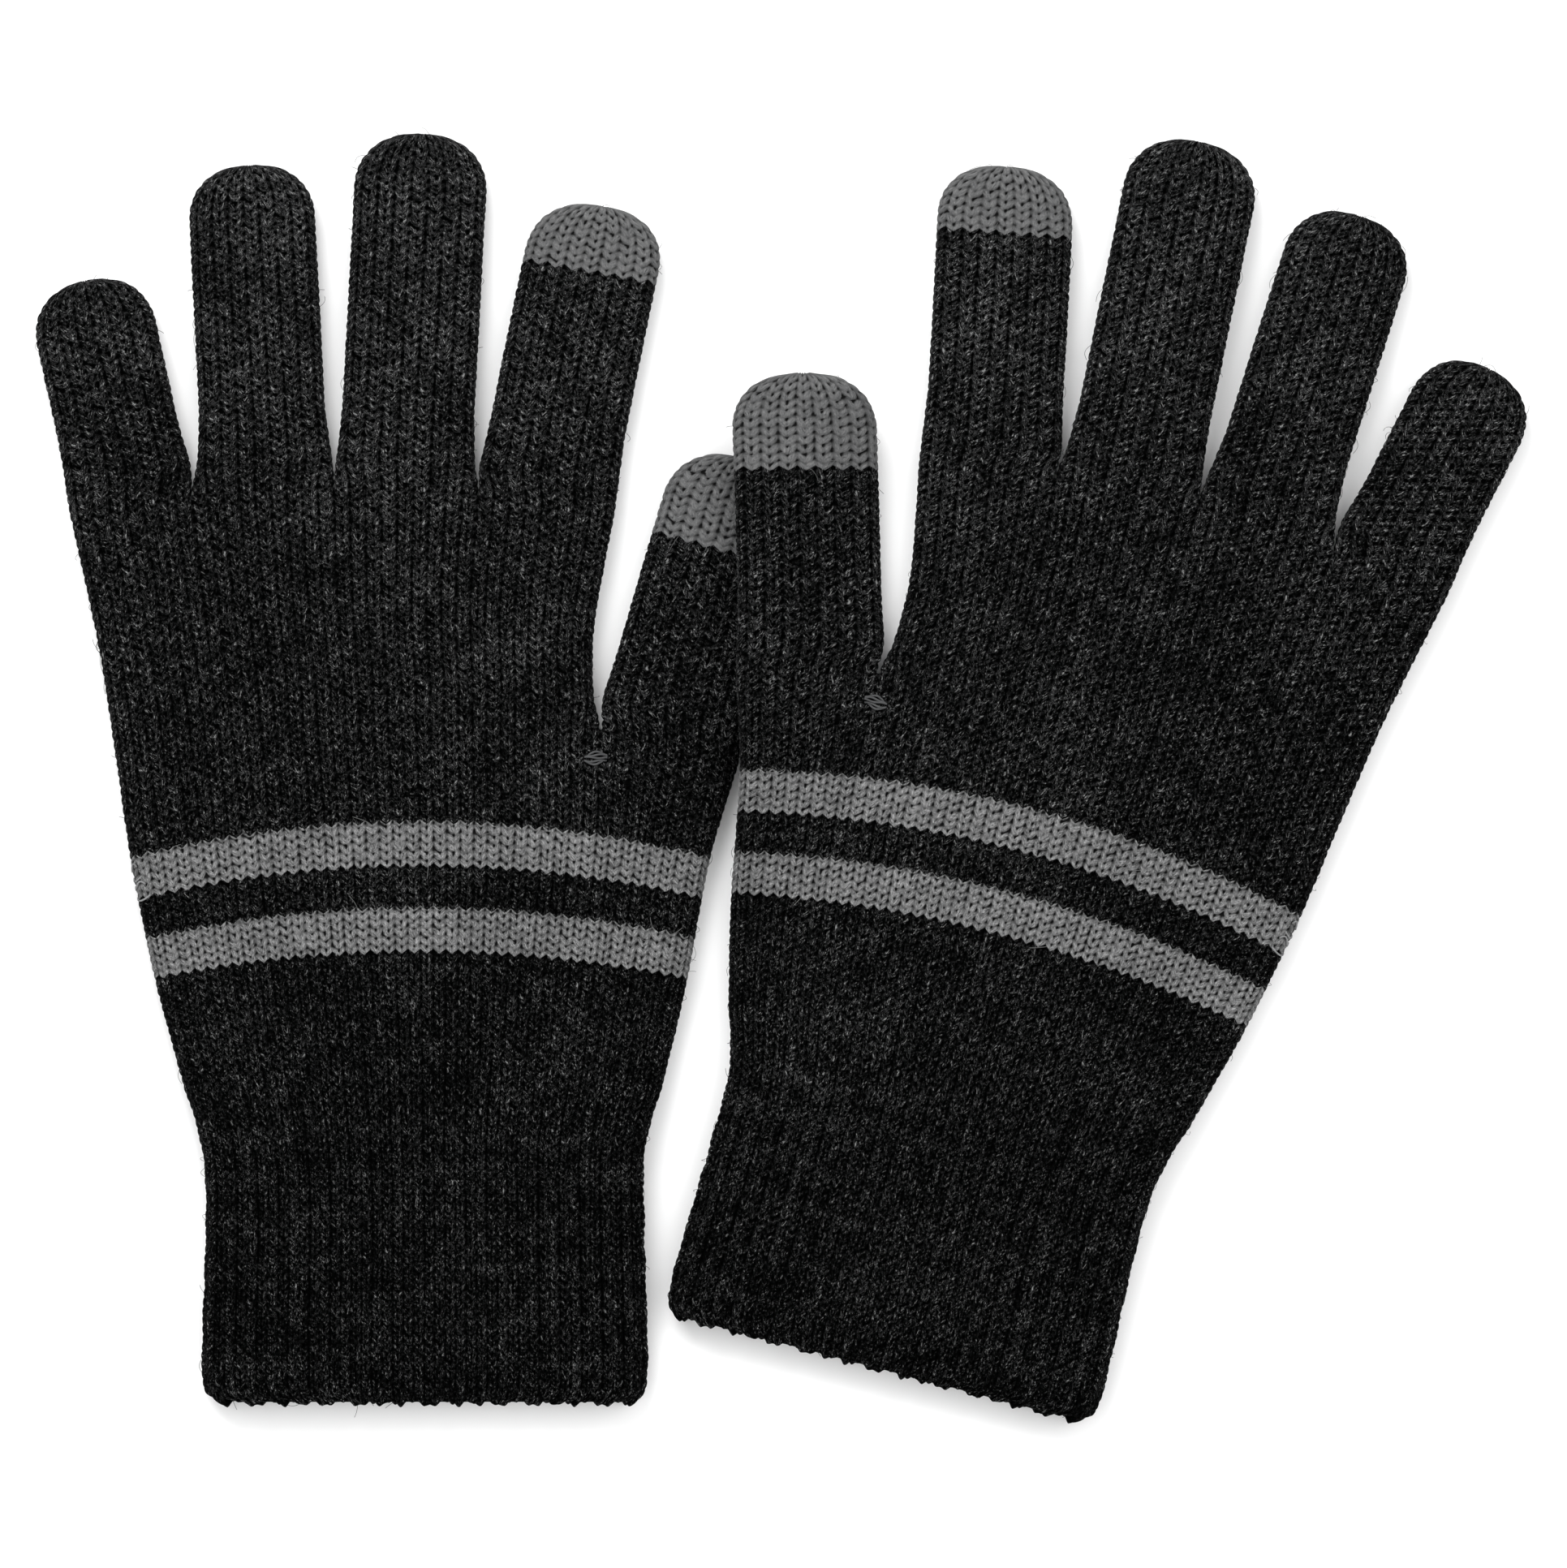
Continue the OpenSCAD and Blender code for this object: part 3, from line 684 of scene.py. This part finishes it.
# mean of the fibres' level, and how its spread changes per metre towards the fingers and at the middle
LEVEL_MEAN = 0.56
SPREAD = (-3.6, 1.33)


def knit_material(name, dark, base, light, fleck, stops, sheen, gap_shade, painted_light_climb=0.0):
    """Marled yarn: fibres of several greys that run along each stitch's leg, with painted shade, near black, in
    the gaps between the stitches.
    """
    n = Nodes(name)
    fibre = n.attribute("fibre", "Vector")
    height = n.attribute("knit_height_shade")
    tone = n.attribute("tone")
    strands = n.noise(n.scaled(fibre, 5.2, 1.5, 1.0), 1.0, 2.0, 0.7)
    fine = n.noise(n.scaled(fibre, 11.0, 2.4, 1.0), 1.0, 1.0, 0.5)
    place_xy = n.node("ShaderNodeTexCoord").outputs["Object"]
    cloud = n.noise(place_xy, 60.0, 2.0, 0.6)
    mottle = n.noise(place_xy, 330.0, 1.0, 0.5)
    level = n.math("ADD", n.math("MULTIPLY", strands, 0.74), n.math("MULTIPLY", fine, 0.38))
    for value, weight in ((tone, 0.05), (cloud, 0.08), (mottle, 0.035)):
        level = n.math("ADD", level, n.math("MULTIPLY", n.math("SUBTRACT", value, 0.5), weight))
    # painted light: the level rises per metre of y, so the yarn is painted lighter towards the fingers, and its
    # spread changes along y with it
    if painted_light_climb:
        height_y = n.node("ShaderNodeSeparateXYZ")
        n.link(place_xy, height_y.inputs[0])
        spread = n.math("MULTIPLY_ADD", height_y.outputs[1], SPREAD[0], SPREAD[1])
        level = n.math("MULTIPLY_ADD", n.math("SUBTRACT", level, LEVEL_MEAN), spread, LEVEL_MEAN)
        level = n.math("ADD", level, n.math("MULTIPLY", height_y.outputs[1], painted_light_climb))
    colour = n.ramp(level, list(zip(stops, (dark, base, light, fleck))))
    # painted shade: where the stitch height is low, in the gaps between the stitches, the colour is mixed towards
    # a quarter of the darkest fibre
    gap_shade_mask = n.math("MULTIPLY_ADD", height, gap_shade[0], gap_shade[1], clamp=True)
    colour = n.mix(gap_shade_mask, tuple(0.25 * d for d in dark), colour)
    shader = n.node("ShaderNodeBsdfPrincipled")
    n.link(colour, shader.inputs["Base Color"])
    shader.inputs["Roughness"].default_value = 1.0
    shader.inputs["Specular IOR Level"].default_value = 0.02
    shader.inputs["Sheen Weight"].default_value = sheen
    shader.inputs["Sheen Roughness"].default_value = 0.3
    bump = n.node("ShaderNodeBump")
    bump.inputs["Strength"].default_value = 0.5
    bump.inputs["Distance"].default_value = 0.0002
    n.link(n.math("ADD", strands, fine), bump.inputs["Height"])
    n.link(bump.outputs[0], shader.inputs["Normal"])
    out = n.node("ShaderNodeOutputMaterial")
    n.link(shader.outputs[0], out.inputs["Surface"])
    return n.material


def grey(value, blue=0.0):
    return (value, value * (1 + blue / 2), value * (1 + blue))


# gap_shade sets the painted shade in the gaps between the stitches of each yarn
CHARCOAL = knit_material("charcoal_knit", grey(0.0003), grey(0.0017, 0.04), grey(0.0265, 0.03), grey(0.2),
                         (0.508, 0.59, 0.677, 0.79), sheen=0.012, gap_shade=(1.55, -0.5), painted_light_climb=0.58)
STRIPE = knit_material("stripe_knit", grey(0.036), grey(0.088, 0.02), grey(0.18), grey(0.3),
                       (0.40, 0.50, 0.61, 0.73), sheen=0.02, gap_shade=(1.25, -0.15))
TOUCH = knit_material("touch_knit", grey(0.042), grey(0.088, 0.03), grey(0.127), grey(0.175),
                      (0.36, 0.50, 0.64, 0.82), sheen=0.02, gap_shade=(1.2, -0.05))


def plain_material(name, colour, roughness):
    n = Nodes(name)
    shader = n.node("ShaderNodeBsdfPrincipled")
    at = n.node("ShaderNodeTexCoord").outputs["Object"]
    grain = n.noise(at, 900.0, 2.0, 0.6)
    n.link(n.ramp(grain, [(0.3, tuple(0.6 * c for c in colour)), (0.7, colour)]), shader.inputs["Base Color"])
    shader.inputs["Roughness"].default_value = roughness
    n.link(shader.outputs[0], n.node("ShaderNodeOutputMaterial").inputs["Surface"])
    return n.material


# ------------------------------------------------------------------ gloves

def finish_piece(obj, material, nodes):
    obj.data.materials.append(material)
    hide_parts(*nodes)
    return obj


def build_hand(side):
    body = f"{side}_hand"
    s1 = C_STRIPE + STRIPE_COURSES
    s2 = s1 + STRIPE_COURSES
    stretches = [
        ("cuff_edge", 0, C_EDGE, CHARCOAL, "charcoal_knit"),
        ("cuff", C_EDGE, C_CUFF, CHARCOAL, "charcoal_knit"),
        ("wrist", C_CUFF, C_STRIPE, CHARCOAL, "charcoal_knit"),
        ("lower_stripe", C_STRIPE, s1, STRIPE, "stripe_knit"),
        ("middle_band", s1, s2, CHARCOAL, "charcoal_knit"),
        ("upper_stripe", s2, C_PALM, STRIPE, "stripe_knit"),
        ("palm", C_PALM, C_FORK, CHARCOAL, "charcoal_knit"),
    ]
    for name, c0, c1, material, slot in stretches:
        obj = knit(f"{side}_{name}_knit", side, hand_point, HAND_WALES, c0, c1,
                   purl_inside=c0 < C_CUFF, zig0=0 if c0 == 0 else ZIGZAG,
                   zig1=0 if c1 == C_FORK else ZIGZAG, scallop=c0 == 0)
        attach(finish_piece(obj, material, [f"{side}_{name}"]), body)
    band = knit(f"{side}_knuckle_band_knit", side, band_point, BAND_WALES, C_FORK, C_KNUCKLE,
                zig0=0, zig1=0)
    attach(finish_piece(band, CHARCOAL, [f"{side}_knuckle_band"]), body)


def build_finger(side, f):
    name = FINGERS[f]
    start = finger_start(f)
    point = finger_points[f]
    along, across = direction(f)
    length = LENGTH[f] + REACH
    tip = start + (length - TIP_LEN.get(name, 0)) / COURSE_MM if name in TIP_LEN else None
    end = start + (length - 0.02) / COURSE_MM
    if f == THUMB:
        tip = round(tip)
        obj = knit(f"{side}_thumb_knit", side, point, FINGER_WALES[f], start, tip, zig0=0)
        finish_piece(obj, CHARCOAL, [f"{side}_thumb"])
        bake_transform(obj)
        cap = knit(f"{side}_thumb_tip_knit", side, point, FINGER_WALES[f], tip, end, closed=True, zig1=0)
        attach(finish_piece(cap, TOUCH, [f"{side}_thumb_tip"]), f"{side}_thumb")
        return
    base, last = f"{side}_{name}_base", f"{side}_{name}_end"
    joint = LENGTH[f] * JOINT_SHARE
    seam = round(start + (REACH + joint - 8.5) / COURSE_MM)
    obj = knit(f"{base}_knit", side, point, FINGER_WALES[f], start, seam, zig0=0, zig1=0)
    finish_piece(obj, CHARCOAL, [base])
    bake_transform(obj)
    if name == "index":
        tip = round(tip)
        obj = knit(f"{last}_knit", side, point, FINGER_WALES[f], seam, tip, zig0=0)
        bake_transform(finish_piece(obj, CHARCOAL, [last]))
        cap = knit(f"{side}_index_tip_knit", side, point, FINGER_WALES[f], tip, end, closed=True, zig1=0)
        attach(finish_piece(cap, TOUCH, [f"{side}_index_tip"]), last)
    else:
        obj = knit(f"{last}_knit", side, point, FINGER_WALES[f], seam, end, closed=True, zig0=0, zig1=0)
        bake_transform(finish_piece(obj, CHARCOAL, [last]))


for glove in ("left", "right"):
    build_hand(glove)
    for number in range(5):
        build_finger(glove, number)

ELASTIC = plain_material("elastic_thread", (0.012, 0.012, 0.0125), 0.7)
TACK = plain_material("tack_yarn", (0.06, 0.061, 0.063), 0.95)
LOOSE_STRIPE = plain_material("stripe_yarn", (0.22, 0.222, 0.225), 0.95)
ELASTIC_AT = (10, 18, 26, 34, 42)   # mm from the cuff's edge
TACK_AT = FORK + np.array([0.4, -5.6])


def yarn_piece(name, paths, radius, material, nodes, body, closed=False):
    verts, quads = rods(np.asarray(paths), radius, sides=6, closed=closed)
    obj = make_mesh(name, verts * MM, quads)
    obj.data.materials.append(material)
    if nodes:
        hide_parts(*nodes)
    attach(obj, body)


def build_threads(side):
    m = np.arange(0, 2 * HAND_WALES, 0.5)
    loops = []
    for y in ELASTIC_AT:
        c = np.full(m.shape, np.interp(y, [5.8, 36, 48], [3.5, 22, 30]))
        p, normal = surface(hand_point, side, m, c, 0)[:2]
        loops.append(p - normal * (FABRIC + 0.3))
    yarn_piece(f"{side}_elastic_threads", loops, 0.32, ELASTIC, [f"{side}_cuff_elastic"],
               f"{side}_hand", closed=True)

    # the tack: a few strands side by side that dip into the palm at both ends
    t = np.linspace(0, 1, 13)
    strands = []
    for row in (-1.0, -0.62, 0.1, 0.55, 1.0):
        x = TACK_AT[0] + (2.4 - 0.45 * abs(row)) * (2 * t - 1) + 0.3 * row
        y = TACK_AT[1] + row * (0.55 + 0.5 * np.sin(math.pi * t)) + 0.16 * np.sin(7 * t + 5 * row)
        z = FLAT_T - 0.65 + 0.95 * np.sin(math.pi * t) ** 0.6
        strands.append(place(side, np.stack([x, y, z], -1)))
    yarn_piece(f"{side}_tack_strands", strands, 0.19, TACK, [f"{side}_thumb_tack"], f"{side}_hand")

    # where the stripe's yarn was changed, loose loops stand off the side of the hand
    loops = []
    for k, course in enumerate((STRIPE_TOP - 4.6, STRIPE_TOP - 3.2, STRIPE_TOP - 2.2, STRIPE_TOP - 1.0)):
        m = np.linspace(1.7 - 0.25 * k, 0.1, 11)
        c = course + 0.45 * np.sin(math.pi * t[:11] / t[10] * (1 + k % 2)) * (1 if k % 2 else -1)
        p, normal = surface(hand_point, side, m, c, 0)[:2]
        loops.append(p + normal * (0.1 + 0.35 * np.sin(math.pi * t[:11] / t[10]))[:, None])
    yarn_piece(f"{side}_stripe_ends", loops, 0.16, LOOSE_STRIPE, [], f"{side}_hand")


STRIPE_TOP = C_PALM
for glove in ("left", "right"):
    build_threads(glove)


# ------------------------------------------------------------------ floor, light and camera

def build_stage():
    bpy.ops.mesh.primitive_plane_add(size=6, location=(0, 0, -0.0002))
    floor = bpy.context.object
    floor.name = "floor"
    n = Nodes("pale_floor")
    shader = n.node("ShaderNodeBsdfPrincipled")
    shader.inputs["Base Color"].default_value = (0.95, 0.95, 0.95, 1)
    shader.inputs["Roughness"].default_value = 0.9
    n.link(shader.outputs[0], n.node("ShaderNodeOutputMaterial").inputs["Surface"])
    floor.data.materials.append(n.material)

    world = bpy.data.worlds.new("studio")
    world.use_nodes = True
    world.node_tree.nodes["Background"].inputs[0].default_value = (1, 1, 1, 1)
    world.node_tree.nodes["Background"].inputs[1].default_value = 1.1
    bpy.context.scene.world = world

    for name, at, size, power in (("key", (-0.35, 0.75, 0.8), 0.6, 9), ("fill", (0.9, 0.3, 1.3), 1.0, 6)):
        light = bpy.data.lights.new(name, "AREA")
        light.shape = "SQUARE"
        light.size = size
        light.energy = power
        lamp = bpy.data.objects.new(name, light)
        lamp.location = at
        bpy.context.scene.collection.objects.link(lamp)
        aim(lamp, (0, 0, 0))


def aim(obj, target):
    from mathutils import Vector
    d = Vector(target) - obj.location
    obj.rotation_euler = d.to_track_quat("-Z", "Y").to_euler()


def build_camera():
    height, frame_w = 2.0, 0.28965
    data = bpy.data.cameras.new("camera")
    data.sensor_width = 36
    data.lens = 36 * (height - 0.006) / frame_w
    data.clip_start = 0.05
    data.clip_end = 50
    camera = bpy.data.objects.new("camera", data)
    camera.location = (0.0005, -0.0009, height)
    bpy.context.scene.collection.objects.link(camera)
    bpy.context.scene.camera = camera


build_stage()
build_camera()

view = bpy.context.scene.view_settings
view.view_transform = "Standard"
